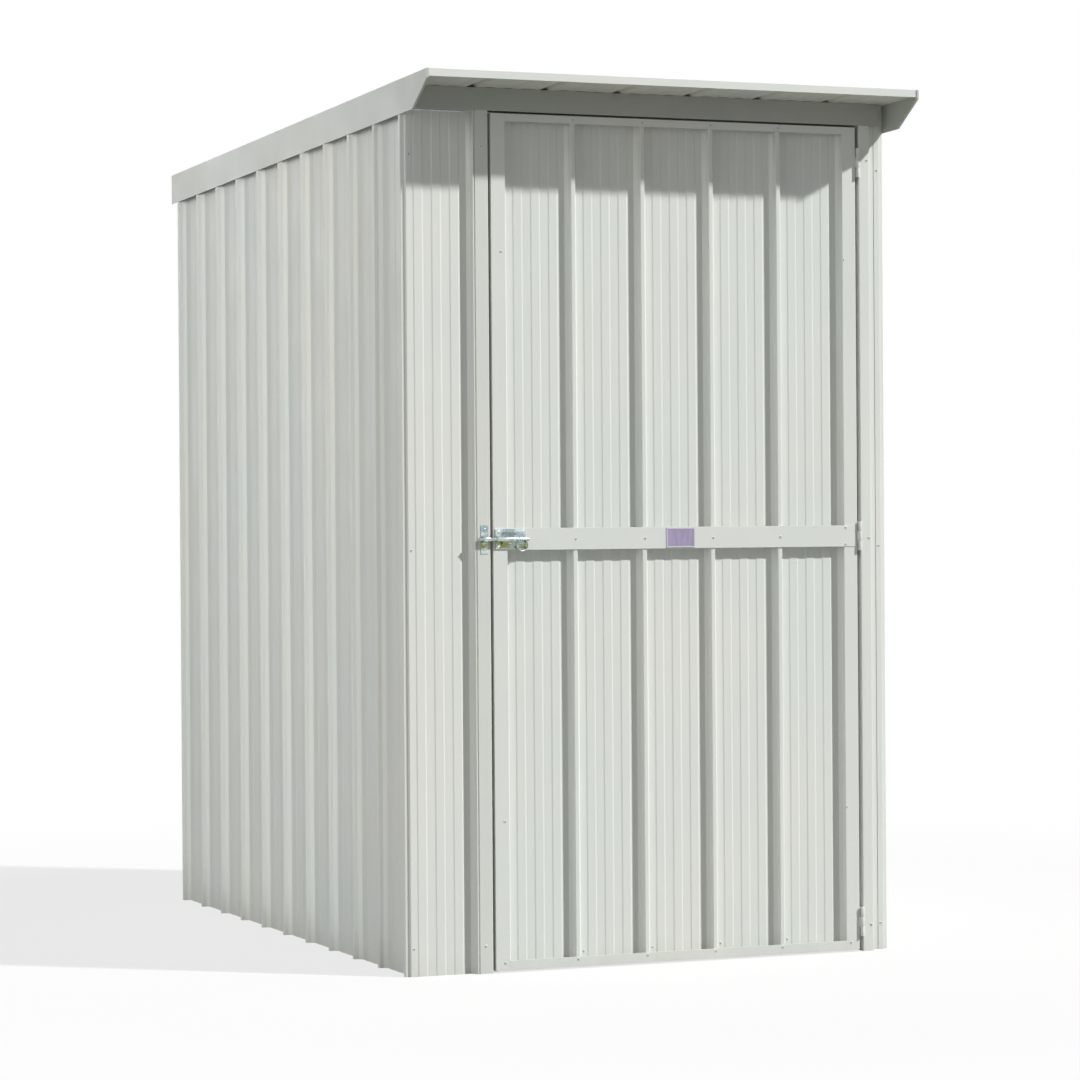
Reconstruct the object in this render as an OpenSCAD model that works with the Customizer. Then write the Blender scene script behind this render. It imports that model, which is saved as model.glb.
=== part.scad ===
// Lean-to metal tool shed: ribbed sheet walls on an angle frame, one hinged door
// with a pad bolt. Front faces -Y, +Z is up, and the origin lies on the ground
// under the middle of the roof. Millimetres.

/* [Walls] */
// Width of the front, from corner to corner
wall_w = 1154; // [950:1:1500]
// Depth of the side walls, from corner to corner
wall_d = 1702; // [1300:1:2400]
// Height of the roof's underside above the ground at the front corners
front_h = 1928; // [1600:1:2400]
// Thickness of the ribbed sheet
sheet_t = 1; // [0.6:0.1:1.5]
// Width of the side sheet's flange that wraps each corner
corner_flange = 15; // [10:1:25]
// Distance from a corner to the centre of the corner rib on the side walls
corner_rib_inset = 11; // [9:0.5:14]

/* [Ribbed sheet] */
// Nominal distance between rib centres
rib_pitch = 168; // [150:1:200]
// Height of a rib above the pan
rib_h = 18; // [14:0.5:22]
// Width of a rib's flat crest
crest_w = 11; // [8:0.5:16]
// Run of the steep flank beside the crest
flank_run = 1; // [0.5:0.5:3]
// Run and height of the flare between pan and flank
flare = 7.5; // [5:0.5:9]
// Raised strips in each pan
strip_count = 3; // [2:1:3]
// Width of a raised strip
strip_w = 22; // [16:1:24]
// Gap between raised strips
strip_gap = 20; // [14:1:22]
// Height of a raised strip
strip_h = 1.5; // [1:0.1:2]

/* [Roof] */
// Fall of the roof towards the back, in degrees
roof_slope = 1.5; // [0.5:0.1:4]
// Overhang in front of the front corners
roof_front = 168; // [120:1:220]
// Overhang behind the back corners
roof_back = 42; // [30:1:90]
// Height of the roof sheet's ribs
roof_rib_h = 11; // [8:0.5:14]
// Height of the side fascia boards
fascia_h = 75; // [60:1:100]
// Distance over which the fascia is cut away below its front tip
fascia_cut_run = 93; // [60:1:110]
// Height of the fascia left at its front tip
fascia_tip_h = 20; // [16:1:30]
// Width of the flange that the fascia folds over the roof
fascia_flange = 25; // [15:1:40]
// Depth of the lip that the fascia folds inwards along its front edge
fascia_lip = 5; // [3:0.5:8]
// Height of the front cap
cap_h = 16.5; // [15:0.5:20]
// Depth of the front cap's top flange
cap_flange = 30; // [20:1:50]
// Depth of the front cap's lower lip
cap_lip = 12; // [8:1:20]
// Drop of the back flashing
flashing_h = 40; // [25:1:60]

/* [Front] */
// Width of the door
door_w = 890; // [700:1:920]
// Gap between the ground and the door
door_ground_gap = 5; // [5:1:15]
// Height of the header above the ground
header_z = 1879; // [1500:1:1890]
// Gap between the door and the header
door_top_gap = 5; // [5:0.5:8]
// Gap between the door and the latch jamb
latch_gap = 6; // [5.5:0.5:10]
// Gap between the door and the hinge jamb
hinge_gap = 10; // [9:0.5:12]
// Width of the hinge side, from jamb edge to corner
hinge_side_w = 62.2; // [62:0.1:90]
// Width of the latch jamb's face
latch_jamb_w = 37; // [32:1:45]
// Width of the hinge jamb's face
hinge_jamb_w = 27; // [25:1:28]
// Depth of the jambs' returns beside the door
jamb_return = 20; // [15:1:24]
// Distance of the header's ends from the corners
header_inset = 12; // [10.5:0.5:14]
// Depth of the header behind the corner plane
header_depth = 40; // [30:1:60]

/* [Door] */
// Thickness of the door's frame members
frame_t = 1.2; // [1:0.1:1.5]
// Width of the stiles
stile_w = 33; // [28:1:45]
// Height of the top rail
top_rail_h = 17; // [14:1:30]
// Height of the bottom rail
bottom_rail_h = 21; // [18:1:40]
// Height of the mid rail
mid_rail_h = 48; // [45:1:60]
// Height of the mid rail's centre above the ground
mid_rail_z = 946; // [800:1:1100]
// Ribs on the door
door_ribs = 4; // [3:1:5]
// Width of the stiles' back flange
stile_flange = 15; // [10:1:25]
// Distance that the mid rail stops short of the door's edges
mid_rail_inset = 4; // [4:1:10]
// Width of the door stop
stop_w = 21; // [15:1:25]
// Gap between the door's back and the stop
stop_gap = 5; // [5:0.5:8]
// Distance that the header's stop reaches down behind the door
header_stop_lap = 14; // [8:1:20]

/* [Framing] */
// Leg of the frame angles
angle_w = 30; // [25:1:40]
// Thickness of the frame angles and posts
angle_t = 1.5; // [1.2:0.1:2.5]
// Leg of the corner posts along the side walls
post_side_w = 40; // [35:1:50]
// Leg of the corner posts along the front and back
post_front_w = 25; // [22:1:26]
// Depth of the latch and hinge posts
jamb_post_d = 40; // [30:1:50]
// Width of the latch post
latch_post_w = 30; // [25:1:31]
// Width of the hinge post
hinge_post_w = 24; // [18:1:25]
// Width of the roof purlin
purlin_w = 40; // [30:1:60]

/* [Hinges] */
// Height of a hinge
hinge_h = 66; // [50:1:90]
// Height of the low hinge's centre above the ground
hinge_low_z = 68; // [50:1:120]
// Distance from the door's top to the high hinge's centre
hinge_top_drop = 80; // [60:1:150]
// Radius of the knuckles
knuckle_r = 4; // [3:0.5:4]
// Radius of the pin
pin_r = 2; // [1.5:0.1:2.5]
// Clearance between pin and knuckle bore
pin_clear = 0.3; // [0.2:0.05:0.4]
// Gap between neighbouring knuckles
knuckle_gap = 0.4; // [0.3:0.1:1]
// Gap between the knuckles and the other leaf
knuckle_clear = 1; // [0.8:0.1:1.5]
// Thickness of the leaves
leaf_t = 2; // [1.5:0.1:2]
// Distance from the frame's face out to the pin
pin_standoff = 4.8; // [4.5:0.1:6]

/* [Pad bolt] */
// Radius of the bolt
bolt_r = 4; // [3:0.5:4]
// Length of the bolt
bolt_len = 117; // [105:1:130]
// Distance that the bolt's tip reaches past the door's edge
bolt_throw = 37; // [32:1:40]
// Travel of the bolt
bolt_travel = 42; // [40:1:45]
// Length of the bolt's plate
bolt_plate_len = 71; // [60:1:80]
// Height of the bolt's plate
bolt_plate_h = 44; // [36:1:44]
// Length of the bolt's housing
housing_len = 46; // [36:1:48]
// Wall of the bolt's housing
housing_wall = 1.6; // [1.2:0.1:2]
// Width of the housing's raised part where it meets the plate
housing_w = 30; // [24:1:34]
// Length of the plain barrel before the housing's raised part
barrel_len = 14; // [10:1:18]
// Clearance round the bolt in its housing
housing_clear = 0.4; // [0.3:0.1:0.6]
// Distance from the plate's face out to the bolt's axis
bolt_standoff = 5.5; // [5.5:0.1:6]
// Thickness of the bolt's plate and the keeper
hardware_t = 1.5; // [1.2:0.1:2]
// Width of the keeper
keeper_w = 17; // [12:1:20]
// Height of the keeper
keeper_h = 63; // [50:1:70]
// Distance of the keeper from the jamb's edge
keeper_inset = 6; // [4:1:10]
// Clearance round the bolt in the keeper
keeper_clear = 1.2; // [1:0.1:1.5]
// Mean radius of the ring handle
ring_r = 12.7; // [10:0.1:13]
// Radius of the ring's wire
ring_wire_r = 1.75; // [1.5:0.05:2]
// Turn of the ring out of the door's plane, in degrees
ring_turn = 12; // [0:1:12]
// Distance of the ring from the bolt's inner end
ring_inset = 15; // [12:1:20]

/* [Blank plate] */
// Width of the blank plate
plate_w = 70; // [50:1:90]
// Height of the blank plate
plate_h = 44; // [30:1:44]
// Thickness of the blank plate
plate_t = 0.8; // [0.6:0.1:1.5]
// Distance of the plate's left edge from the door's latch edge
plate_x = 412.7; // [300:0.1:600]
// Width of the plate's raised border
plate_border = 3; // [2:0.5:6]
// Height of the plate's raised border
plate_border_h = 0.5; // [0.3:0.1:1]

/* [Hidden] */
$fn = 48;

// Colours
wall_paint = [0.86, 0.87, 0.84];
trim_paint = [0.82, 0.84, 0.80];
header_paint = [0.55, 0.56, 0.53];
frame_zinc = [0.62, 0.64, 0.66];
hardware_zinc = [0.75, 0.76, 0.62];
blank_tone = [0.66, 0.64, 0.74];

// Planes of the walls. The corner plane is the outer face of the side sheet's flange.
half_w = wall_w / 2;
roof_len = roof_front + wall_d + roof_back;
front_y = roof_front - roof_len / 2;
back_y = front_y + wall_d;
side_out = rib_h - flare;                   // crests stand this far outside the corners
side_pan_x = half_w - flare;                // outer face of the side pans
side_in_x = side_pan_x - sheet_t;           // inner face of the side pans
front_pan_y = front_y + sheet_t;            // outer face of the front pans
front_in_y = front_pan_y + sheet_t;         // inner face of the front pans
crest_y = front_pan_y - rib_h;              // crests of the front ribs and jambs
face_y = crest_y - frame_t;                 // face of the door's frame and the header
back_in_y = back_y - 2 * sheet_t;           // inner face of the back pans

// Ribs
rib_base = crest_w + 2 * (flank_run + flare);
side_ribs = round((wall_d - 2 * corner_rib_inset) / rib_pitch) + 1;
side_pitch = (wall_d - 2 * corner_rib_inset) / (side_ribs - 1);
back_ribs = round((wall_w + rib_base) / rib_pitch) - 1;

// Door and opening
latch_jamb_x = half_w - hinge_side_w - hinge_gap - door_w - latch_gap;
door_x0 = latch_jamb_x + latch_gap;
door_x1 = door_x0 + door_w;
hinge_jamb_x = door_x1 + hinge_gap;
door_z0 = door_ground_gap;
door_z1 = header_z - door_top_gap;
door_back_y = front_in_y + frame_t;
stop_y = door_back_y + stop_gap;
mid_face_y = face_y - frame_t;              // face of the mid rail
mid_z0 = mid_rail_z - mid_rail_h / 2;

// Hinges
pin_x = door_x1 + hinge_gap / 2;
pin_y = face_y - pin_standoff;
hinge_high_z = door_z1 - hinge_top_drop;
leaf_gap = hinge_gap / 2 - leaf_t;          // from the pin's axis to each leaf
leaf_back = 18;                             // reach of a leaf behind the frame's face

// Pad bolt
bolt_y = mid_face_y - hardware_t - bolt_standoff;
bolt_x0 = door_x0 - bolt_throw;
bolt_plate_x = door_x0 + mid_rail_inset;
keeper_x1 = latch_jamb_x - keeper_inset;

// Roof
roof_half = half_w + side_out;              // inner faces of the fascias
roof_top = sheet_t + roof_rib_h;            // top of the roof ribs above the underside
fascia_top = roof_top + sheet_t;
cap_y = 1.5 * sheet_t - roof_front / cos(roof_slope); // face of the front cap, behind the lips
cut_size = 2 * (wall_w + wall_d);           // block that trims the walls under the roof

// Height at y of a plane that lies h above the roof's underside
function roof_z(y, h) = front_h - (y - front_y) * tan(roof_slope) + h / cos(roof_slope);
function reverse(list) = [for (i = [len(list) - 1 : -1 : 0]) list[i]];
function unit(v) = v / norm(v);
function left_of(v) = [-v.y, v.x];

// Path moved sideways by d with mitred corners, to the left of its direction
function offset_path(p, d) = [
    for (i = [0 : len(p) - 1])
        let (
            before = unit(p[max(i, 1)] - p[max(i, 1) - 1]),
            after = unit(p[min(i, len(p) - 2) + 1] - p[min(i, len(p) - 2)]),
            n0 = left_of(before),
            n1 = left_of(after)
        )
        p[i] + d * (n0 + n1) / (1 + n0 * n1)
];

// Outer line of a rib of height h centred on u
function rib_line(u, h) = let (f = min(flare, h / 2)) [
    [u - crest_w / 2 - flank_run - f, 0],
    [u - crest_w / 2 - flank_run, f],
    [u - crest_w / 2, h],
    [u + crest_w / 2, h],
    [u + crest_w / 2 + flank_run, f],
    [u + crest_w / 2 + flank_run + f, 0]
];

// Raised strips of the pan whose middle is u
function strip_line(u) = [
    for (k = [0 : strip_count - 1])
        let (c = u + (k - (strip_count - 1) / 2) * (strip_w + strip_gap))
        for (q = [
            [c - strip_w / 2, 0], [c - strip_w / 2 + strip_h, strip_h],
            [c + strip_w / 2 - strip_h, strip_h], [c + strip_w / 2, 0]
        ]) q
];

// Ribs and striped pans that share out a width from u0 to u1, starting and ending on a pan
function field_line(u0, u1, ribs) =
    let (pan = (u1 - u0 - ribs * rib_base) / (ribs + 1), step = pan + rib_base)
    [for (k = [0 : ribs]) for (q = concat(
        strip_line(u0 + pan / 2 + k * step),
        k < ribs ? rib_line(u0 + pan + rib_base / 2 + k * step, rib_h) : []
    )) q];

// Outer line of a side wall: u runs back from the front corner, v outwards from the pans
function side_line() =
    let (
        first = rib_line(corner_rib_inset, rib_h),
        last = rib_line(wall_d - corner_rib_inset, rib_h)
    )
    concat(
        [[0, flare - corner_flange], [0, flare]],
        [for (i = [1 : 5]) first[i]],
        [for (k = [1 : side_ribs - 1]) for (q = concat(
            strip_line(corner_rib_inset + (k - 0.5) * side_pitch),
            k < side_ribs - 1 ? rib_line(corner_rib_inset + k * side_pitch, rib_h) : []
        )) q],
        [for (i = [0 : 4]) last[i]],
        [[wall_d, flare], [wall_d, flare - corner_flange]]
    );

// Children drawn on the roof's underside, y running back from the front corners
module on_roof() {
    translate([0, front_y, front_h]) rotate([-roof_slope, 0, 0]) children();
}

// Everything above the roof's underside
module above_roof() {
    on_roof()
        translate([-cut_size / 2, -cut_size / 2, 0])
            cube([cut_size, cut_size, cut_size / 2]);
}

// Upright sheet with the given outer line and its inner face one thickness to the right
module sheet(outer, height) {
    linear_extrude(height) polygon(concat(outer, reverse(offset_path(outer, -sheet_t))));
}

module box(from, to) {
    translate(from) cube(to - from);
}

// Slab between two y that follows the roof, z measured square to the roof's underside
module roof_slab(x0, x1, y0, y1, z0, z1) {
    translate([x0, 0, 0])
        rotate([90, 0, 90])
            linear_extrude(x1 - x0)
                polygon([
                    [y0, roof_z(y0, z0)], [y1, roof_z(y1, z0)],
                    [y1, roof_z(y1, z1)], [y0, roof_z(y0, z1)]
                ]);
}

// --- Walls ---

module left_wall() {
    color(wall_paint)
        difference() {
            sheet([for (p = side_line()) [-side_pan_x - p.y, front_y + p.x]], front_h);
            above_roof();
            // room for the header's end in the corner flange
            box([-half_w + header_inset - sheet_t, front_y - 1, header_z],
                [-half_w + corner_flange + 1, front_pan_y + 1, front_h + 1]);
        }
}

module right_wall() {
    mirror([1, 0, 0]) left_wall();
}

module back_wall() {
    reach = half_w - sheet_t;
    color(wall_paint)
        difference() {
            translate([0, back_y - sheet_t, 0])
                sheet(concat([[-reach, 0]], field_line(-reach, reach, back_ribs),
                    [[reach, 0]]), front_h);
            above_roof();
        }
}

// Front sheet line: u runs along x and v outwards, to the front
module front_sheet(line, z1) {
    translate([0, front_pan_y, 0])
        mirror([0, 1, 0])
            sheet(line, z1);
}

module front_left_panel() {
    pan_end = latch_jamb_x - latch_jamb_w - flank_run - flare;
    start = -half_w + sheet_t;
    color(wall_paint)
        front_sheet(concat(
            [[start, 0]],
            strip_line((start + pan_end) / 2),
            [
                [pan_end, 0], [pan_end + flare, flare],
                [pan_end + flare + flank_run, rib_h], [latch_jamb_x, rib_h],
                [latch_jamb_x, rib_h - jamb_return]
            ]
        ), header_z);
}

module front_right_panel() {
    crest_end = hinge_jamb_x + hinge_jamb_w;
    color(wall_paint)
        front_sheet([
            [hinge_jamb_x, rib_h - jamb_return], [hinge_jamb_x, rib_h],
            [crest_end, rib_h], [crest_end + flank_run, flare],
            [crest_end + flank_run + flare, 0], [half_w - sheet_t, 0]
        ], header_z);
}

// --- Frame ---

module door_header() {
    x0 = -half_w + header_inset;
    x1 = half_w - header_inset;
    back = front_y + header_depth;
    color(header_paint)
        difference() {
            union() {
                box([x0, face_y, header_z], [x1, face_y + frame_t, front_h + rib_h]);
                box([x0, face_y, header_z], [x1, back, header_z + frame_t]);
                box([x0, back - frame_t, header_z], [x1, back, front_h + rib_h]);
                // stop behind the top of the door
                box([latch_jamb_x + stop_w, stop_y, door_z1 - header_stop_lap],
                    [door_x1, stop_y + frame_t, header_z]);
            }
            above_roof();
        }
}

// Upright rectangular tube
module tube(x0, x1, y0, y1, z1) {
    difference() {
        box([x0, y0, 0], [x1, y1, z1]);
        box([x0 + angle_t, y0 + angle_t, -1], [x1 - angle_t, y1 - angle_t, z1 + 1]);
    }
}

module latch_post() {
    x1 = latch_jamb_x - sheet_t;
    y0 = crest_y + sheet_t;
    color(frame_zinc) {
        tube(x1 - latch_post_w, x1, y0, y0 + jamb_post_d, header_z);
        // stop behind the latch edge of the door
        box([x1 - angle_t, stop_y, 0], [latch_jamb_x + stop_w, stop_y + angle_t, header_z]);
    }
}

module hinge_post() {
    x0 = hinge_jamb_x + sheet_t;
    y0 = crest_y + sheet_t;
    color(frame_zinc)
        tube(x0, x0 + hinge_post_w, y0, y0 + jamb_post_d, header_z);
}

// Left post: legs run from the inside corner along +x and towards dir in y
module corner_post(y, dir, z1) {
    side_leg = [angle_t, post_side_w];
    end_leg = [post_front_w, angle_t];
    color(frame_zinc)
        difference() {
            translate([-side_in_x, y, 0])
                linear_extrude(z1)
                    union() {
                        translate([0, dir > 0 ? 0 : -side_leg.y]) square(side_leg);
                        translate([0, dir > 0 ? 0 : -end_leg.y]) square(end_leg);
                    }
            above_roof();
        }
}

module front_left_post() {
    corner_post(front_in_y, 1, header_z);
}

module front_right_post() {
    mirror([1, 0, 0]) front_left_post();
}

module back_left_post() {
    corner_post(back_in_y, -1, front_h);
}

module back_right_post() {
    mirror([1, 0, 0]) back_left_post();
}

// Angle along the left wall, its upright leg on the sheet and its flat leg at z0
module side_angle(z0) {
    y0 = front_in_y + post_side_w;
    y1 = back_in_y - post_side_w;
    color(frame_zinc) {
        box([-side_in_x, y0, z0], [-side_in_x + angle_t, y1, z0 + angle_w]);
        box([-side_in_x, y0, z0], [-side_in_x + angle_w, y1, z0 + angle_t]);
    }
}

// Angle along the back wall between the posts
module back_angle(z0) {
    reach = side_in_x - post_front_w;
    color(frame_zinc) {
        box([-reach, back_in_y - angle_t, z0], [reach, back_in_y, z0 + angle_w]);
        box([-reach, back_in_y - angle_w, z0], [reach, back_in_y, z0 + angle_t]);
    }
}

module left_base_rail() {
    side_angle(0);
}

module right_base_rail() {
    mirror([1, 0, 0]) side_angle(0);
}

module back_base_rail() {
    back_angle(0);
}

module front_base_rail() {
    x0 = -side_in_x + post_front_w;
    x1 = latch_jamb_x - sheet_t - latch_post_w;
    color(frame_zinc) {
        box([x0, front_in_y, 0], [x1, front_in_y + angle_t, angle_w]);
        box([x0, front_in_y, 0], [x1, front_in_y + angle_w, angle_t]);
    }
}

module left_girt() {
    side_angle(mid_rail_z - angle_w / 2);
}

module right_girt() {
    mirror([1, 0, 0]) left_girt();
}

module back_girt() {
    back_angle(mid_rail_z - angle_w / 2);
}

module left_top_rail() {
    y0 = front_y + header_depth;
    y1 = back_in_y - post_side_w;
    color(frame_zinc) {
        roof_slab(-side_in_x, -side_in_x + angle_t, y0, y1, -angle_w, 0);
        roof_slab(-side_in_x, -side_in_x + angle_w, y0, y1, -angle_w, -angle_w + angle_t);
    }
}

module right_top_rail() {
    mirror([1, 0, 0]) left_top_rail();
}

module back_top_rail() {
    reach = side_in_x - post_front_w;
    color(frame_zinc) {
        roof_slab(-reach, reach, back_in_y - angle_t, back_in_y, -angle_w, 0);
        roof_slab(-reach, reach, back_in_y - angle_w, back_in_y, -angle_w, -angle_w + angle_t);
    }
}

// Channel across the middle of the roof that sits on the side rails
module roof_purlin() {
    reach = side_in_x - angle_t;
    y0 = (wall_d - purlin_w) / 2;
    y1 = y0 + purlin_w;
    low = -angle_w + angle_t;
    color(frame_zinc)
        on_roof() {
            box([-reach, y0, -angle_t], [reach, y1, 0]);
            box([-reach, y0, low], [reach, y0 + angle_t, 0]);
            box([-reach, y1 - angle_t, low], [reach, y1, 0]);
        }
}

// --- Roof ---

module roof_sheet() {
    y0 = cap_y + sheet_t;
    y1 = (wall_d + roof_back) / cos(roof_slope) - sheet_t;
    pan = (2 * roof_half - back_ribs * rib_base) / (back_ribs + 1);
    edge = roof_half - sheet_t;
    color(wall_paint)
        on_roof()
            translate([0, y1, 0])
                rotate([90, 0, 0])
                    sheet(concat(
                        [[-edge, roof_top], [-edge, sheet_t]],
                        [for (k = [1 : back_ribs])
                            for (q = rib_line(-roof_half + k * (pan + rib_base) - rib_base / 2,
                                roof_rib_h)) q + [0, sheet_t]],
                        [[edge, sheet_t], [edge, roof_top]]
                    ), y1 - y0);
}

// Folded cap over the front edge of the roof, between the fascias
module roof_front_cap() {
    low = fascia_top - cap_h;
    color(trim_paint)
        on_roof() {
            box([-roof_half, cap_y, low], [roof_half, cap_y + sheet_t, fascia_top]);
            box([-roof_half, cap_y, roof_top], [roof_half, cap_y + cap_flange, fascia_top]);
            box([-roof_half, cap_y, -sheet_t], [roof_half, cap_y + cap_lip, 0]);
        }
}

// Side fascia: an upright sheet with its front cut back below the tip, a lip folded
// inwards along that front edge, and a top flange
module left_fascia() {
    tip_y = front_y - roof_front;
    end_y = back_y + roof_back;
    cut_y = tip_y + fascia_cut_run;
    flange_y = tip_y + cap_flange + 2 * sheet_t;
    front_edge = [
        [tip_y, roof_z(tip_y, fascia_top)],
        [tip_y, roof_z(tip_y, fascia_top - fascia_tip_h)],
        [cut_y, roof_z(cut_y, fascia_top - fascia_h)]
    ];
    color(trim_paint) {
        translate([-roof_half - sheet_t, 0, 0])
            rotate([90, 0, 90]) {
                linear_extrude(sheet_t)
                    polygon(concat(front_edge, [
                        [end_y, roof_z(end_y, fascia_top - fascia_h)],
                        [end_y, roof_z(end_y, fascia_top)]
                    ]));
                linear_extrude(fascia_lip)
                    polygon(concat(front_edge, reverse(offset_path(front_edge, sheet_t))));
            }
        roof_slab(-roof_half - sheet_t, -roof_half + fascia_flange, flange_y, end_y,
            roof_top, fascia_top);
    }
}

module right_fascia() {
    mirror([1, 0, 0]) left_fascia();
}

// Angle tucked under the back edge of the roof sheet
module back_flashing() {
    y1 = (wall_d + roof_back) / cos(roof_slope) - sheet_t;
    y0 = wall_d + rib_h;
    color(trim_paint)
        on_roof() {
            box([-roof_half, y0, -sheet_t], [roof_half, y1, 0]);
            box([-roof_half, y1 - sheet_t, -flashing_h], [roof_half, y1, 0]);
        }
}

// --- Hinges ---

// Leaf beside the pin with its plate at x from leaf_gap to leaf_gap + leaf_t
module leaf(knuckles) {
    third = hinge_h / 3;
    plate_y = knuckle_r + knuckle_clear;
    web_x = knuckle_r - leaf_t;
    translate([leaf_gap, plate_y, 0])
        cube([leaf_t, leaf_back + pin_standoff - plate_y, hinge_h]);
    for (k = knuckles) {
        z0 = k * third + (k == 0 ? 0 : knuckle_gap / 2);
        z1 = (k + 1) * third - (k == 2 ? 0 : knuckle_gap / 2);
        translate([0, 0, z0]) cylinder(r = knuckle_r, h = z1 - z0);
        translate([web_x, 0, z0]) cube([leaf_gap + leaf_t - web_x, plate_y, z1 - z0]);
    }
}

// Leaf on the jamb, with the outer knuckles and the pin
module frame_leaf(z) {
    color(trim_paint)
        translate([pin_x, pin_y, z - hinge_h / 2]) {
            leaf([0, 2]);
            cylinder(r = pin_r, h = hinge_h);
        }
}

// Leaf on the door, with the middle knuckle and its bore
module door_leaf(z) {
    color(trim_paint)
        translate([pin_x, pin_y, z - hinge_h / 2])
            difference() {
                mirror([1, 0, 0]) leaf([1]);
                translate([0, 0, -1]) cylinder(r = pin_r + pin_clear, h = hinge_h + 2);
            }
}

module frame_leaf_low() {
    frame_leaf(hinge_low_z);
}

module frame_leaf_mid() {
    frame_leaf(mid_rail_z);
}

module frame_leaf_high() {
    frame_leaf(hinge_high_z);
}

module door_leaf_low() {
    door_leaf(hinge_low_z);
}

module door_leaf_mid() {
    door_leaf(mid_rail_z);
}

module door_leaf_high() {
    door_leaf(hinge_high_z);
}

// --- Door ---

module door_sheet() {
    u0 = door_x0 + stile_w;
    u1 = door_x1 - stile_w;
    run = flank_run + flare;
    color(wall_paint)
        translate([0, 0, door_z0 + frame_t])
            front_sheet(concat(
                [
                    [door_x0 + frame_t, rib_h], [u0, rib_h],
                    [u0 + flank_run, flare], [u0 + run, 0]
                ],
                field_line(u0 + run, u1 - run, door_ribs),
                [
                    [u1 - run, 0], [u1 - flank_run, flare],
                    [u1, rib_h], [door_x1 - frame_t, rib_h]
                ]
            ), door_z1 - door_z0 - 2 * frame_t);
}

// Channel stile with its edge at x = 0 and its face towards +x
module stile() {
    color(trim_paint)
        linear_extrude(door_z1 - door_z0)
            union() {
                square([stile_w, frame_t]);
                square([frame_t, door_back_y - face_y]);
                translate([0, door_back_y - face_y - frame_t]) square([stile_flange, frame_t]);
            }
}

module door_latch_stile() {
    translate([door_x0, face_y, door_z0]) stile();
}

module door_hinge_stile() {
    translate([door_x1, face_y, door_z0]) mirror([1, 0, 0]) stile();
}

// Channel that closes the sheet's end between the stiles, from z0 up to z1
module end_rail(z0, z1, web_z) {
    x0 = door_x0 + stile_w;
    x1 = door_x1 - stile_w;
    color(trim_paint) {
        box([x0, face_y, z0], [x1, crest_y, z1]);
        box([x0, front_in_y, z0], [x1, door_back_y, z1]);
        box([x0, face_y, web_z], [x1, door_back_y, web_z + frame_t]);
    }
}

module door_top_rail() {
    end_rail(door_z1 - top_rail_h, door_z1, door_z1 - frame_t);
}

module door_bottom_rail() {
    end_rail(door_z0, door_z0 + bottom_rail_h, door_z0);
}

// Flat rail over the stiles, doubled where it lies on the crests
module door_mid_rail() {
    color(trim_paint) {
        box([door_x0 + mid_rail_inset, mid_face_y, mid_z0],
            [door_x1 - mid_rail_inset, face_y, mid_z0 + mid_rail_h]);
        box([door_x0 + stile_w, mid_face_y, mid_z0],
            [door_x1 - stile_w, crest_y, mid_z0 + mid_rail_h]);
    }
}

module blank_plate() {
    x0 = door_x0 + plate_x;
    z0 = mid_rail_z - plate_h / 2;
    front = mid_face_y - plate_t - plate_border_h;
    color(blank_tone)
        difference() {
            box([x0, front, z0], [x0 + plate_w, mid_face_y, z0 + plate_h]);
            box([x0 + plate_border, front - 1, z0 + plate_border],
                [x0 + plate_w - plate_border, mid_face_y - plate_t,
                    z0 + plate_h - plate_border]);
        }
}

// --- Pad bolt ---

// Children turned so that their z axis runs along +x from the bolt's axis at x
module along_bolt(x) {
    translate([x, bolt_y, mid_rail_z]) rotate([0, 90, 0]) children();
}

// Plate with a barrel for the bolt, whose raised part slopes down to the plate
module bolt_plate() {
    x0 = bolt_plate_x;
    z0 = mid_rail_z - bolt_plate_h / 2;
    bore_r = bolt_r + housing_clear;
    outer_r = bore_r + housing_wall;
    foot = [housing_w / 2, bolt_standoff];
    turn = atan2(foot.x, foot.y) + acos(outer_r / norm(foot));
    top = outer_r * [sin(turn), cos(turn)];     // where the slope meets the barrel
    color(hardware_zinc)
        difference() {
            union() {
                box([x0, mid_face_y - hardware_t, z0],
                    [x0 + bolt_plate_len, mid_face_y, z0 + bolt_plate_h]);
                along_bolt(x0) cylinder(r = outer_r, h = housing_len);
                along_bolt(x0 + barrel_len)
                    linear_extrude(housing_len - barrel_len)
                        polygon([foot, top, [-top.x, top.y], [-foot.x, foot.y]]);
            }
            along_bolt(x0 - 1) cylinder(r = bore_r, h = bolt_plate_len + 2);
        }
}

// Strap on the latch jamb with a bridge over the bolt
module bolt_keeper() {
    inner = bolt_r + keeper_clear;
    outer = inner + hardware_t;
    reach = crest_y - bolt_y;
    color(hardware_zinc)
        translate([keeper_x1 - keeper_w, bolt_y, mid_rail_z])
            rotate([90, 0, 90])
                linear_extrude(keeper_w)
                    difference() {
                        union() {
                            circle(r = outer);
                            translate([0, -outer]) square([reach, 2 * outer]);
                            translate([reach - hardware_t, -keeper_h / 2])
                                square([hardware_t, keeper_h]);
                        }
                        circle(r = inner);
                        translate([0, -inner]) square([reach + 1, 2 * inner]);
                    }
}

module bolt_rod() {
    color(hardware_zinc) {
        along_bolt(bolt_x0) cylinder(r = bolt_r, h = bolt_len);
        translate([bolt_x0 + bolt_len - ring_inset, bolt_y, mid_rail_z - ring_r])
            rotate([90, 0, ring_turn])
                rotate_extrude()
                    translate([ring_r, 0]) circle(r = ring_wire_r, $fn = 24);
    }
}

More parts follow.
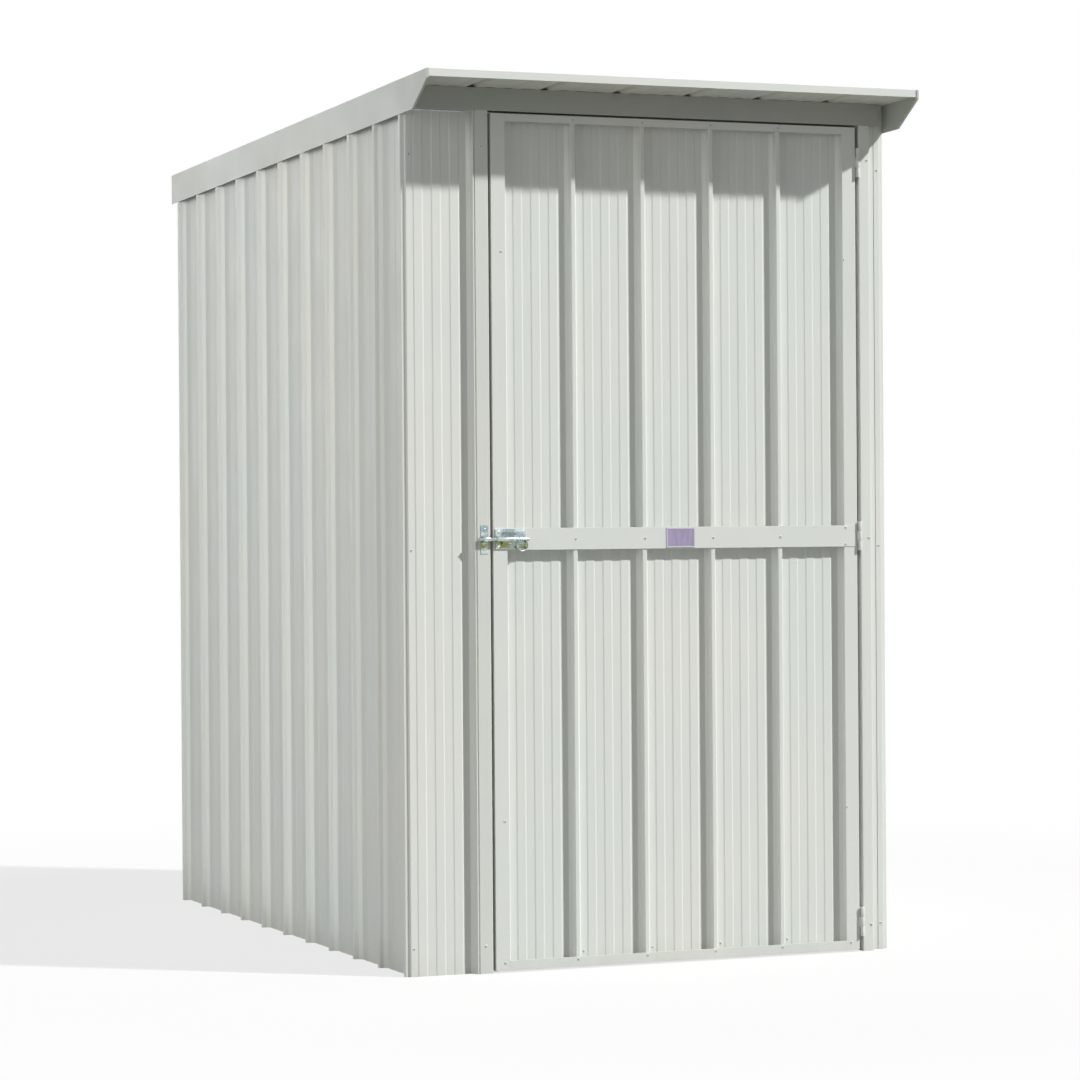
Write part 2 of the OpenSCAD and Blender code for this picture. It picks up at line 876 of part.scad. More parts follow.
left_wall();
right_wall();
back_wall();
front_left_panel();
front_right_panel();
door_header();
latch_post();
hinge_post();
front_left_post();
front_right_post();
back_left_post();
back_right_post();
left_base_rail();
right_base_rail();
back_base_rail();
front_base_rail();
left_girt();
right_girt();
back_girt();
left_top_rail();
right_top_rail();
back_top_rail();
roof_purlin();
roof_sheet();
roof_front_cap();
left_fascia();
right_fascia();
back_flashing();
frame_leaf_low();
frame_leaf_mid();
frame_leaf_high();
bolt_keeper();
door_sheet();
door_latch_stile();
door_hinge_stile();
door_top_rail();
door_mid_rail();
door_bottom_rail();
door_leaf_low();
door_leaf_mid();
door_leaf_high();
bolt_plate();
blank_plate();
bolt_rod();
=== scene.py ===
"""Metal tool shed: its looks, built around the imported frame."""

import bpy
import bmesh
import math
from mathutils import Matrix, Vector


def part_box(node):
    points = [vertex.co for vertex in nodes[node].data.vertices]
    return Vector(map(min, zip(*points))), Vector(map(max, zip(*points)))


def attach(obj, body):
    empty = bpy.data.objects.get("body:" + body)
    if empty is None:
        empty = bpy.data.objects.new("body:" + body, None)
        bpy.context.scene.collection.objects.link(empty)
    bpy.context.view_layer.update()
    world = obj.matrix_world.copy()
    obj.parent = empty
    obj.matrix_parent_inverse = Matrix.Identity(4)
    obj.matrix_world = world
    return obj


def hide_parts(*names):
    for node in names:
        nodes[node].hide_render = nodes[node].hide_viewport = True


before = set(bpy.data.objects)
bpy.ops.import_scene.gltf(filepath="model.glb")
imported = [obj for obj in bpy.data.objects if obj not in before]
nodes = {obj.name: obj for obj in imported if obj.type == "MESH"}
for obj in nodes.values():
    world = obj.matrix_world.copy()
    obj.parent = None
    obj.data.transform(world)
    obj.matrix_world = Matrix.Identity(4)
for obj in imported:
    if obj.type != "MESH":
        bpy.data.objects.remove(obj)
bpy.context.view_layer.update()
scene = bpy.context.scene
scene.view_settings.view_transform = "Standard"

MM = 0.001

# ---------------------------------------------------------------- camera

YAW, PITCH, ROLL = 0.390, -0.0066, -0.0070
CAMERA_AT, LENS = (-3.1690, -7.8454, 0.9937), 115.86
ahead = Vector((math.sin(YAW) * math.cos(PITCH), math.cos(YAW) * math.cos(PITCH), math.sin(PITCH)))
level = Vector((math.cos(YAW), -math.sin(YAW), 0.0))
upright = level.cross(ahead)
right = math.cos(ROLL) * level + math.sin(ROLL) * upright
above = -math.sin(ROLL) * level + math.cos(ROLL) * upright

camera = bpy.data.objects.new("camera", bpy.data.cameras.new("camera"))
scene.collection.objects.link(camera)
camera.data.sensor_width = 36.0
camera.data.lens = LENS
camera.data.clip_end = 200.0
turn = Matrix((right, above, -ahead)).transposed()
camera.matrix_world = Matrix.Translation(CAMERA_AT) @ turn.to_4x4()
scene.camera = camera

# ---------------------------------------------------------------- node helpers


class Tree:
    """A node tree with short calls for its nodes and links."""

    def __init__(self, tree):
        self.tree = tree
        tree.nodes.clear()

    def add(self, kind, inputs=(), **settings):
        node = self.tree.nodes.new(kind)
        for key, value in settings.items():
            setattr(node, key, value)
        for key, value in dict(inputs).items():
            if isinstance(value, bpy.types.NodeSocket):
                self.tree.links.new(value, node.inputs[key])
            else:
                node.inputs[key].default_value = value
        return node

    def math(self, operation, a, b=0.0, c=0.0, clamp=False):
        inputs = {0: a, 1: b, 2: c}
        return self.add("ShaderNodeMath", inputs, operation=operation, use_clamp=clamp).outputs[0]

    def span(self, value, low, high, to_low=0.0, to_high=1.0, smooth=False):
        """value taken from low..high to to_low..to_high, and held at the ends"""
        return self.add(
            "ShaderNodeMapRange",
            {"Value": value, "From Min": low, "From Max": high, "To Min": to_low, "To Max": to_high},
            interpolation_type="SMOOTHSTEP" if smooth else "LINEAR",
        ).outputs[0]

    def mix(self, factor, a, b):
        node = self.add("ShaderNodeMix", data_type="RGBA")
        for index, value in ((0, factor), (6, a), (7, b)):
            if isinstance(value, bpy.types.NodeSocket):
                self.tree.links.new(value, node.inputs[index])
            elif index == 0:
                node.inputs[index].default_value = value
            else:
                node.inputs[index].default_value = (*value, 1.0)
        return node.outputs[2]

    def place(self, scale=(1, 1, 1)):
        """Coordinates in the frame, stretched"""
        coordinates = self.add("ShaderNodeTexCoord").outputs["Object"]
        return self.add("ShaderNodeMapping", {"Vector": coordinates, "Scale": scale}).outputs[0]

    def noise(self, scale, stretch=(1, 1, 1), detail=3.0, rough=0.5):
        return self.add(
            "ShaderNodeTexNoise",
            {"Vector": self.place(stretch), "Scale": scale, "Detail": detail, "Roughness": rough},
        ).outputs["Fac"]

    def axis(self, which):
        return self.add("ShaderNodeSeparateXYZ", {"Vector": self.place()}).outputs[which]

    def seen(self):
        """1 for what the camera sees, straight or in metal or glass, and 0 for the light on things"""
        path = self.add("ShaderNodeLightPath").outputs
        either = self.math("ADD", path["Is Camera Ray"], path["Is Glossy Ray"])
        return self.math("ADD", either, path["Is Transmission Ray"], clamp=True)


def surface(name, build, **sockets):
    """A material with one shader: constants on its sockets, the rest from build(tree)"""
    material = bpy.data.materials.new(name)
    material.use_nodes = True
    tree = Tree(material.node_tree)
    shader = tree.add("ShaderNodeBsdfPrincipled")
    for key, value in {**sockets, **build(tree)}.items():
        socket = shader.inputs[key.replace("_", " ")]
        if isinstance(value, bpy.types.NodeSocket):
            tree.tree.links.new(value, socket)
        else:
            socket.default_value = value
    out = tree.add("ShaderNodeOutputMaterial")
    tree.tree.links.new(shader.outputs[0], out.inputs["Surface"])
    return material


# ---------------------------------------------------------------- materials

SOIL, GRIT = (0.44, 0.40, 0.33), (0.36, 0.33, 0.28)
# heights in metres where the bolt's olive tone starts, is full, fades and ends, just below its axis: partly
# the zinc's own olive film, partly painted reflection of the ground and painted shade on its underside
OLIVE_AND_SHADE_Z = (0.920, 0.930, 0.938, 0.947)


def paint(name, tone, dirt=1.0, gloss=0.42, streak=0.03, sheen=0.5):
    """Baked paint on steel: slight drift of tone, faint run-off streaks, dust at the foot, orange peel.
    A lower sheen is paint that has chalked in the weather."""

    def build(t):
        drift = t.noise(2.3, detail=2.0)
        warm = tuple(c * f for c, f in zip(tone, (1.015, 1.0, 0.985)))
        cool = tuple(c * f for c, f in zip(tone, (0.975, 0.995, 0.99)))
        colour = t.mix(t.span(drift, 0.35, 0.65), cool, warm)
        runs = t.noise(38.0, (1, 1, 0.035), detail=4.0, rough=0.6)
        washed = tuple(c * 0.86 for c in tone)
        colour = t.mix(t.span(runs, 0.35, 0.75, 0.0, streak * 4), colour, washed)
        height = t.axis(2)
        ragged = t.math("MULTIPLY_ADD", t.noise(17.0, (1, 1, 0.5), detail=5.0, rough=0.65), 0.16, -0.06)
        foot = t.span(t.math("SUBTRACT", ragged, height), -0.03, 0.09, 0.0, 0.30 * dirt)
        colour = t.mix(foot, colour, SOIL)
        specks = t.noise(420.0, detail=1.0)
        dust = t.math("MULTIPLY", t.span(specks, 0.68, 0.74), t.span(height, 0.0, 0.35, 0.28 * dirt, 0.04))
        colour = t.mix(dust, colour, GRIT)
        peel = t.add("ShaderNodeBump", {"Height": t.noise(520.0, detail=2.0), "Strength": 0.12,
                                        "Distance": 0.0003}).outputs[0]
        waves = t.add("ShaderNodeBump", {"Height": t.noise(5.0, (1, 1, 0.6), detail=1.0), "Strength": 0.35,
                                         "Distance": 0.004, "Normal": peel}).outputs[0]
        rough = t.math("ADD", t.span(t.noise(9.0, detail=4.0), 0.3, 0.7, gloss - 0.05, gloss + 0.06),
                       t.math("MULTIPLY", foot, 0.5))
        return {"Base_Color": colour, "Roughness": rough, "Normal": waves}

    return surface(name, build, Specular_IOR_Level=sheen)


def spangled(name, tone, rough=0.38):
    """Galvanised steel with its crystal pattern"""

    def build(t):
        crystals = t.add("ShaderNodeTexVoronoi", {"Vector": t.place(), "Scale": 95.0, "Randomness": 1.0},
                         feature="F1")
        shade = t.add("ShaderNodeSeparateColor", {"Color": crystals.outputs["Color"]}).outputs[0]
        cloud = t.noise(14.0, detail=4.0)
        colour = t.mix(t.span(shade, 0.0, 1.0), tuple(c * 0.86 for c in tone), tuple(c * 1.1 for c in tone))
        colour = t.mix(t.span(cloud, 0.45, 0.7, 0.0, 0.35), colour, (0.46, 0.47, 0.47))
        bump = t.add("ShaderNodeBump", {"Height": shade, "Strength": 0.08, "Distance": 0.0002}).outputs[0]
        return {"Base_Color": colour, "Normal": bump,
                "Roughness": t.math("ADD", t.span(shade, 0.0, 1.0, rough - 0.08, rough + 0.08),
                                    t.span(cloud, 0.4, 0.7, 0.0, 0.1))}

    return surface(name, build, Metallic=1.0)


def passivated(name):
    """Zinc plating with a blue-grey film, pale patches and scuffs, and an olive band across the bolt just
    below its axis: the zinc's own olive film, placed there as painted reflection of the ground and painted
    shade on the bolt's underside
    """

    def build(t):
        film = t.noise(34.0, (1, 1, 2.4), detail=2.0)
        height = t.axis(2)
        # painted reflection and painted shade: the olive is held to a band just below the bolt's axis
        band = t.math("MULTIPLY", t.span(height, OLIVE_AND_SHADE_Z[0], OLIVE_AND_SHADE_Z[1], smooth=True),
                      t.span(height, OLIVE_AND_SHADE_Z[2], OLIVE_AND_SHADE_Z[3], 1.0, 0.0, smooth=True))
        olive_and_shade = t.math("MULTIPLY", band, t.span(film, 0.34, 0.50, 0.35, 1.0, smooth=True))
        base = t.mix(t.span(film, 0.40, 0.62, smooth=True), (0.34, 0.43, 0.46), (0.58, 0.66, 0.66))
        colour = t.mix(olive_and_shade, base, (0.21, 0.23, 0.09))
        pale = t.noise(62.0, (1, 1, 3.0), detail=1.0)
        colour = t.mix(t.span(pale, 0.58, 0.70, 0.0, 0.7, smooth=True), colour, (0.80, 0.83, 0.82))
        scuffs = t.noise(260.0, (1, 1, 0.2), detail=4.0, rough=0.7)
        bump = t.add("ShaderNodeBump", {"Height": scuffs, "Strength": 0.06, "Distance": 0.0002}).outputs[0]
        return {"Base_Color": colour, "Normal": bump, "Roughness": t.span(scuffs, 0.35, 0.7, 0.14, 0.34)}

    return surface(name, build, Metallic=1.0)


def plate_finish(name, border_depth):
    """Lilac enamel on a thin plate, worn to a pale tone on the raised border"""

    def build(t):
        grain = t.noise(150.0, (1, 1, 0.15), detail=4.0)
        field = t.mix(t.span(grain, 0.3, 0.7), (0.33, 0.27, 0.42), (0.41, 0.35, 0.50))
        raised = t.span(t.axis(1), border_depth - 0.0001, border_depth + 0.0001, 1.0, 0.0)
        colour = t.mix(raised, field, (0.62, 0.60, 0.68))
        return {"Base_Color": colour, "Roughness": t.span(grain, 0.3, 0.7, 0.3, 0.45)}

    return surface(name, build)


WALL_TONE = (0.745, 0.765, 0.725)
wall_paint = paint("wall_paint", WALL_TONE)
roof_paint = paint("roof_paint", WALL_TONE, dirt=0.0, gloss=0.52, sheen=0.2)
trim_paint = paint("trim_paint", (0.740, 0.755, 0.720), gloss=0.38, streak=0.02)
# the fascias and the back flashing are darker than the walls as painted shade, for the shade they are seen
# in
fascia_shade_paint = paint("fascia_shade_paint", (0.520, 0.550, 0.505), dirt=0.0, gloss=0.38, streak=0.02)
# the jamb faces' darker, greener tone is painted shade, for faces turned a little away from the light
jamb_shade_paint = paint("jamb_shade_paint", (0.680, 0.700, 0.655), gloss=0.40, streak=0.02)
# the header's tone is darker than the walls as painted shade: it stands in for the shade under the roof's
# overhang
header_paint = paint("header_paint", (0.425, 0.435, 0.400), dirt=0.0, gloss=0.40, streak=0.02)
backing_coat = paint("backing_coat", (0.470, 0.475, 0.450), dirt=0.6, gloss=0.55)
soffit_coat = paint("soffit_coat", (0.680, 0.675, 0.610), dirt=0.0, gloss=0.50)
frame_zinc = spangled("frame_zinc", (0.60, 0.62, 0.64))
cut_edge = spangled("cut_edge", (0.52, 0.53, 0.53), rough=0.45)
# the rivets' pin hollows: bare steel, darkened beyond the pin's own tone as painted shade in the hollow
pin_steel_and_shade = spangled("pin_steel_and_shade", (0.20, 0.20, 0.21), rough=0.5)
hardware_zinc = passivated("hardware_zinc")

# ---------------------------------------------------------------- sizes, in millimetres
# *_X, *_Y and *_Z are places in the frame, and TRIM is the thickness of the door's stiles and rails

HALF_W, DEPTH, FRONT_H = 577.0, 1702.0, 1928.0
FRONT_Y = -788.0
BACK_Y = FRONT_Y + DEPTH
SHEET = 1.0
SLOPE = math.radians(1.5)
RIB_H, CREST_W, FLANK, FLARE = 18.0, 11.0, 1.0, 7.5
RIB_BASE = CREST_W + 2 * (FLANK + FLARE)
STRIP_W, STRIP_GAP, STRIP_H, STRIPS = 22.0, 20.0, 1.1, 3
STRIP_RUN = 3.0
SIDE_PAN_X = HALF_W - FLARE
FRONT_PAN_Y = FRONT_Y + SHEET
CREST_Y = FRONT_PAN_Y - RIB_H
HEADER_Z = 1879.0
LATCH_X, HINGE_X = -391.2, 514.8
DOOR_X0, DOOR_X1, DOOR_Z0, DOOR_Z1 = -385.2, 504.8, 5.0, 1874.0
STILE_W = 33.0
TRIM = 1.2
FACE_Y = CREST_Y - TRIM
MID_Y = FACE_Y - TRIM
MID_Z = 946.0
ROOF_HALF = HALF_W + RIB_H - FLARE
BEND_R = 1.7


def roof_z(y):
    """Height of the roof's underside at y"""
    return FRONT_H - (y - FRONT_Y) * math.tan(SLOPE)


# ---------------------------------------------------------------- folded sheets


def flat(points):
    return [Vector(p) for p in points]


def moved(line, d):
    """The line moved sideways by d to its left, with mitred corners"""
    out = []
    last = len(line) - 1
    for i, p in enumerate(line):
        before = (line[max(i, 1)] - line[max(i, 1) - 1]).normalized()
        after = (line[min(i, last - 1) + 1] - line[min(i, last - 1)]).normalized()
        n0, n1 = Vector((-before.y, before.x)), Vector((-after.y, after.x))
        out.append(p + d * (n0 + n1) / (1 + n0.dot(n1)))
    return out


def bent(line, radius):
    """The line with each corner rounded to a bend of that radius, as far as there is room"""
    out = [line[0]]
    for p0, p, p1 in zip(line, line[1:], line[2:]):
        a, b = (p0 - p).normalized(), (p1 - p).normalized()
        angle = math.pi - math.acos(max(-1.0, min(1.0, a.dot(b))))
        if angle < 0.01:
            out.append(p)
            continue
        reach = min(radius * math.tan(angle / 2), 0.46 * min((p0 - p).length, (p1 - p).length))
        r = reach / math.tan(angle / 2)
        centre = p + (a + b).normalized() * (r / math.cos(angle / 2))
        arm = p + a * reach - centre
        way = 1 if a.cross(b) < 0 else -1
        steps = max(2, math.ceil(math.degrees(angle) / 20))
        for k in range(steps + 1):
            out.append(centre + Matrix.Rotation(way * angle * k / steps, 2) @ arm)
    return out + [line[-1]]


def finish_mesh(obj, sharp=32):
    """Smooth faces with crisp folds, weighted so that wide faces stay flat"""
    mesh = obj.data
    mesh.polygons.foreach_set("use_smooth", [True] * len(mesh.polygons))
    mesh.set_sharp_from_angle(angle=math.radians(sharp))
    weights = obj.modifiers.new("weights", "WEIGHTED_NORMAL")
    weights.keep_sharp = True
    return obj


def new_object(name, mesh, materials, body, replaces=None):
    obj = bpy.data.objects.new(name, mesh)
    scene.collection.objects.link(obj)
    for material in materials:
        mesh.materials.append(material)
    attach(obj, body)
    if replaces:
        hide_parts(replaces)
    return obj


def folded_sheet(node, line, place, low, top, body="shed", levels=(), skip=None,
                 outside=None, inside=None, trim=None):
    """Sheet with the outer line, drawn out from low to top(point) with rows at the given levels.
    place(u, v, w) gives the point in the frame. outside and inside are the faces' materials.
    skip(a, b, row) leaves a cell open, and trim(a, b) gives it the jamb's darker tone, which is painted
    shade."""
    centre = bent(moved(flat(line), -SHEET / 2), BEND_R)
    sides = (moved(centre, SHEET / 2), moved(centre, -SHEET / 2))
    rows = len(levels) + 2
    count = len(centre)
    bm = bmesh.new()
    grid = []
    for side in sides:
        layer = []
        for j in range(rows):
            row = []
            for p in side:
                w = low if j == 0 else top(p) if j == rows - 1 else levels[j - 1]
                row.append(bm.verts.new(Vector(place(p.x, p.y, w)) * MM))
            layer.append(row)
        grid.append(layer)
    cells = [(i, j) for j in range(rows - 1) for i in range(count - 1)
             if not (skip and skip(centre[i], centre[i + 1], j))]
    rim = {}
    for i, j in cells:
        corners = [(i, j), (i + 1, j), (i + 1, j + 1), (i, j + 1)]
        for layer, index in ((0, 0), (1, 1)):
            ring = [grid[layer][b][a] for a, b in corners]
            face = bm.faces.new(ring if layer == 0 else ring[::-1])
            face.material_index = 3 if layer == 0 and trim and trim(centre[i], centre[i + 1]) else index
        for a, b in zip(corners, corners[1:] + corners[:1]):
            key = (min(a, b), max(a, b))
            rim[key] = None if key in rim else (a, b)
    for pair in filter(None, rim.values()):
        (i0, j0), (i1, j1) = pair
        face = bm.faces.new([grid[0][j1][i1], grid[0][j0][i0], grid[1][j0][i0], grid[1][j1][i1]])
        face.material_index = 2
    bmesh.ops.delete(bm, geom=[v for v in bm.verts if not v.link_faces], context="VERTS")
    bmesh.ops.recalc_face_normals(bm, faces=bm.faces)
    mesh = bpy.data.meshes.new(node + "_sheet")
    bm.to_mesh(mesh)
    bm.free()
    materials = [outside or wall_paint, inside or backing_coat, cut_edge, jamb_shade_paint]
    finish_mesh(new_object(node + "_sheet", mesh, materials, body, replaces=node))


def rib(u, h=RIB_H):
    """Outline of a rib whose middle is u"""
    f = min(FLARE, h / 2)
    half = CREST_W / 2
    return [(u - half - FLANK - f, 0), (u - half - FLANK, f), (u - half, h),
            (u + half, h), (u + half + FLANK, f), (u + half + FLANK + f, 0)]


def strips(u):
    """Outline of a pan's raised strips, whose middle is u"""
    out = []
    for k in range(STRIPS):
        c = u + (k - (STRIPS - 1) / 2) * (STRIP_W + STRIP_GAP)
        foot, top = STRIP_W / 2 + (STRIP_RUN - STRIP_H) / 2, STRIP_W / 2 - (STRIP_RUN + STRIP_H) / 2
        out += [(c - foot, 0), (c - top, STRIP_H), (c + top, STRIP_H), (c + foot, 0)]
    return out


def field(u0, u1, ribs):
    """Outline of ribs and striped pans that share out the width, from a pan to a pan"""
    pan = (u1 - u0 - ribs * RIB_BASE) / (ribs + 1)
    out = []
    for k in range(ribs + 1):
        out += strips(u0 + pan / 2 + k * (pan + RIB_BASE))
        if k < ribs:
            out += rib(u0 + pan + RIB_BASE / 2 + k * (pan + RIB_BASE))
    return out


CORNER_RIB, FLANGE, HEADER_INSET = 11.0, 15.0, 12.0
SIDE_RIBS = 11
SIDE_PITCH = (DEPTH - 2 * CORNER_RIB) / (SIDE_RIBS - 1)
notch = FLARE - (HEADER_INSET - SHEET)
side = [(0, FLARE - FLANGE), (0, notch), (0, FLARE)] + rib(CORNER_RIB)[1:]
for k in range(1, SIDE_RIBS):
    side += strips(CORNER_RIB + (k - 0.5) * SIDE_PITCH)
    if k < SIDE_RIBS - 1:
        side += rib(CORNER_RIB + k * SIDE_PITCH)
side += rib(DEPTH - CORNER_RIB)[:5] + [(DEPTH, FLARE), (DEPTH, FLARE - FLANGE)]

for sign, name in ((-1, "left_wall"), (1, "right_wall")):
    folded_sheet(
        name, side,
        lambda u, v, w, sign=sign: (sign * (SIDE_PAN_X + v), FRONT_Y + u, w),
        0.0, lambda p: roof_z(FRONT_Y + p.x), levels=(HEADER_Z,),
        skip=lambda a, b, row: row == 1 and max(a.x, b.x) < 2 * SHEET and min(a.y, b.y) < notch - 0.1,
    )

reach = HALF_W - SHEET
BACK_RIBS = 6
folded_sheet("back_wall", [(-reach, 0)] + field(-reach, reach, BACK_RIBS) + [(reach, 0)],
             lambda u, v, w: (u, BACK_Y - SHEET + v, w), 0.0, lambda p: roof_z(BACK_Y - SHEET + p.y))


def front(u, v, w):
    return (u, FRONT_PAN_Y - v, w)


LATCH_JAMB, HINGE_JAMB, RETURN = 37.0, 27.0, 20.0
SEAM = ((3.3, 0), (3.5, 2.4), (5.3, 2.4), (5.5, 0))  # in from the jamb's edge, and deep
pan_end = LATCH_X - LATCH_JAMB - FLANK - FLARE
# the latch jamb's faces get the jamb's darker tone, which is painted shade
folded_sheet("front_left_panel",
             [(-reach, 0)] + strips((-reach + pan_end) / 2)
             + [(pan_end, 0), (pan_end + FLARE, FLARE), (pan_end + FLARE + FLANK, RIB_H)]
             + [(LATCH_X - LATCH_JAMB + a, RIB_H - b) for a, b in SEAM]
             + [(LATCH_X, RIB_H), (LATCH_X, RIB_H - RETURN)],
             front, 0.0, lambda p: HEADER_Z, trim=lambda a, b: min(a.x, b.x) > pan_end + FLARE)
crest_end = HINGE_X + HINGE_JAMB
folded_sheet("front_right_panel",
             [(HINGE_X, RIB_H - RETURN), (HINGE_X, RIB_H), (crest_end, RIB_H), (crest_end + FLANK, FLARE),
              (crest_end + FLANK + FLARE, 0), (reach, 0)],
             front, 0.0, lambda p: HEADER_Z)

DOOR_RIBS = 4
u0, u1, run = DOOR_X0 + STILE_W, DOOR_X1 - STILE_W, FLANK + FLARE
folded_sheet("door_sheet",
             [(DOOR_X0 + TRIM, RIB_H), (u0, RIB_H), (u0 + FLANK, FLARE), (u0 + run, 0)]
             + field(u0 + run, u1 - run, DOOR_RIBS)
             + [(u1 - run, 0), (u1 - FLANK, FLARE), (u1, RIB_H), (DOOR_X1 - TRIM, RIB_H)],
             front, DOOR_Z0 + TRIM, lambda p: DOOR_Z1 - TRIM, body="door")

ROOF_FRONT, ROOF_BACK, ROOF_RIB = 168.0, 42.0, 11.0
ROOF_TOP = SHEET + ROOF_RIB
pan = (2 * ROOF_HALF - BACK_RIBS * RIB_BASE) / (BACK_RIBS + 1)
edge = ROOF_HALF - SHEET
roof_ribs = [-ROOF_HALF + k * (pan + RIB_BASE) - RIB_BASE / 2 for k in range(1, BACK_RIBS + 1)]
roof_y0 = 2.5 * SHEET - ROOF_FRONT / math.cos(SLOPE)
roof_y1 = (DEPTH + ROOF_BACK) / math.cos(SLOPE) - SHEET
slope = Matrix.Translation((0, FRONT_Y, FRONT_H)) @ Matrix.Rotation(-SLOPE, 4, "X")
line = [(-edge, ROOF_TOP), (-edge, SHEET)]
for c in roof_ribs:
    line += [(u, v + SHEET) for u, v in strips(c - (pan + RIB_BASE) / 2) + rib(c, ROOF_RIB)]
line += [(u, v + SHEET) for u, v in strips(roof_ribs[-1] + (pan + RIB_BASE) / 2)]
line += [(edge, SHEET), (edge, ROOF_TOP)]
folded_sheet("roof_sheet", line, lambda u, v, w: slope @ Vector((u, w, v)), roof_y0, lambda p: roof_y1,
             outside=roof_paint, inside=soffit_coat)

# ---------------------------------------------------------------- fasteners


def turned(profile, segments=24):
    """Closed solid of revolution about +z from (radius, height) points, bottom to top"""
    bm = bmesh.new()
    rings = []
    for r, h in profile:
        if r == 0:
            rings.append([bm.verts.new((0, 0, h))])
        else:
            rings.append([bm.verts.new((r * math.cos(2 * math.pi * k / segments),
                                        r * math.sin(2 * math.pi * k / segments), h))
                          for k in range(segments)])
    for lower, upper in zip(rings, rings[1:]):
        for k in range(segments):
            n = (k + 1) % segments
            if len(lower) == 1:
                bm.faces.new([lower[0], upper[n], upper[k]])
            elif len(upper) == 1:
                bm.faces.new([lower[k], lower[n], upper[0]])
            else:
                bm.faces.new([lower[k], lower[n], upper[n], upper[k]])
    bmesh.ops.recalc_face_normals(bm, faces=bm.faces)
    return bm


def strewn(name, shape, spots, materials, body):
    """Copies of the shape (in mm, standing on z = 0) at each (point in mm, direction)"""
    mesh = bpy.data.meshes.new(name)
    bm = bmesh.new()
    for point, way in spots:
        part = shape.copy()
        turn = Vector(way).to_track_quat("Z", "Y").to_matrix().to_4x4()
        bmesh.ops.transform(part, verts=part.verts,
                            matrix=Matrix.Translation(Vector(point) * MM) @ turn @ Matrix.Scale(MM, 4))
        part.to_mesh(mesh)
        part.free()
        bm.from_mesh(mesh)
    bm.to_mesh(mesh)
    bm.free()
    return finish_mesh(new_object(name, mesh, materials, body), sharp=40)


# blind rivet: domed head with the hollow left by its pin
rivet = turned([(0, -0.4), (3.3, -0.4), (3.4, 0.0), (3.35, 0.3), (3.05, 0.68), (2.6, 0.98), (2.1, 1.15),
                (1.7, 1.12), (1.5, 0.95), (1.4, 0.2), (0, 0.05)])
PIN_HOLE_R = 1.46
# the pin's hollow takes the dark pin material: bare steel, darkened further as painted shade in the hollow
for f in rivet.faces:
    if f.calc_center_median().z > 0.02 and f.calc_center_median().xy.length < PIN_HOLE_R:
        f.material_index = 1

SOUTH = (0, -1, 0)
door_pan = (u1 - u0 - 2 * run - DOOR_RIBS * RIB_BASE) / (DOOR_RIBS + 1)
door_ribs = [u0 + run + door_pan * (k + 1) + RIB_BASE * (k + 0.5) for k in range(DOOR_RIBS)]
# a rivet at each rib on the three rails, and one beside it on the sheet above the bottom rail
places = [(x, MID_Y, MID_Z - 1) for x in door_ribs]
places += [(x, FACE_Y, z) for z in (DOOR_Z0 + 15, DOOR_Z1 - 8.5) for x in door_ribs]
places += [(x + 20.5, FRONT_PAN_Y, DOOR_Z0 + 30) for x in door_ribs]
# a pair at the mid rail's end, two up each stile and one at each foot
places += [(DOOR_X1 - 30.1, MID_Y, MID_Z + dz) for dz in (18.9, -18.9)]
places += [(x, FACE_Y, z) for x in (DOOR_X0 + 22.6, DOOR_X1 - 31.1) for z in (1573.0, 330.0)]
places += [(x, FACE_Y, DOOR_Z0 + 16) for x in (DOOR_X0 + 21.7, DOOR_X1 - 21.7)]
spots = [(place, SOUTH) for place in places]
strewn("door_rivets", rivet, spots, [trim_paint, pin_steel_and_shade], "door")

# three up each corner, front and back, and those of the two jambs
CORNERS_X, CORNER_RIVETS_Z = (-HALF_W + 8, HALF_W - 8), (60.0, 923.0, 1780.0)
JAMB_LOW_Z, JAMB_HIGH_Z = 60.0, 1800.0
spots = [((x, FRONT_Y, z), SOUTH) for x in CORNERS_X for z in CORNER_RIVETS_Z]
spots += [((HINGE_X + 20.8, CREST_Y, z), SOUTH) for z in (JAMB_LOW_Z, MID_Z - 5.3, JAMB_HIGH_Z)]
spots += [((LATCH_X - 17, CREST_Y, z), SOUTH) for z in (JAMB_LOW_Z, JAMB_HIGH_Z)]
spots += [((x, BACK_Y, z), (0, 1, 0)) for x in CORNERS_X for z in CORNER_RIVETS_Z]
strewn("wall_rivets", rivet, spots, [wall_paint, pin_steel_and_shade], "shed")

up = slope.to_3x3() @ Vector((0, 0, 1))
CAP_SINK = 0.65  # the rivets on the front cap are set in by this, to stay under the roof's highest edge
spots = [(slope @ Vector((x, y, ROOF_TOP)), up) for x in roof_ribs for y in (DEPTH / 2, DEPTH - 20.0)]
spots += [(slope @ Vector((x, roof_y0 + 20, ROOF_TOP + SHEET - CAP_SINK)), up) for x in roof_ribs]
strewn("roof_rivets", rivet, spots, [roof_paint, pin_steel_and_shade], "shed")

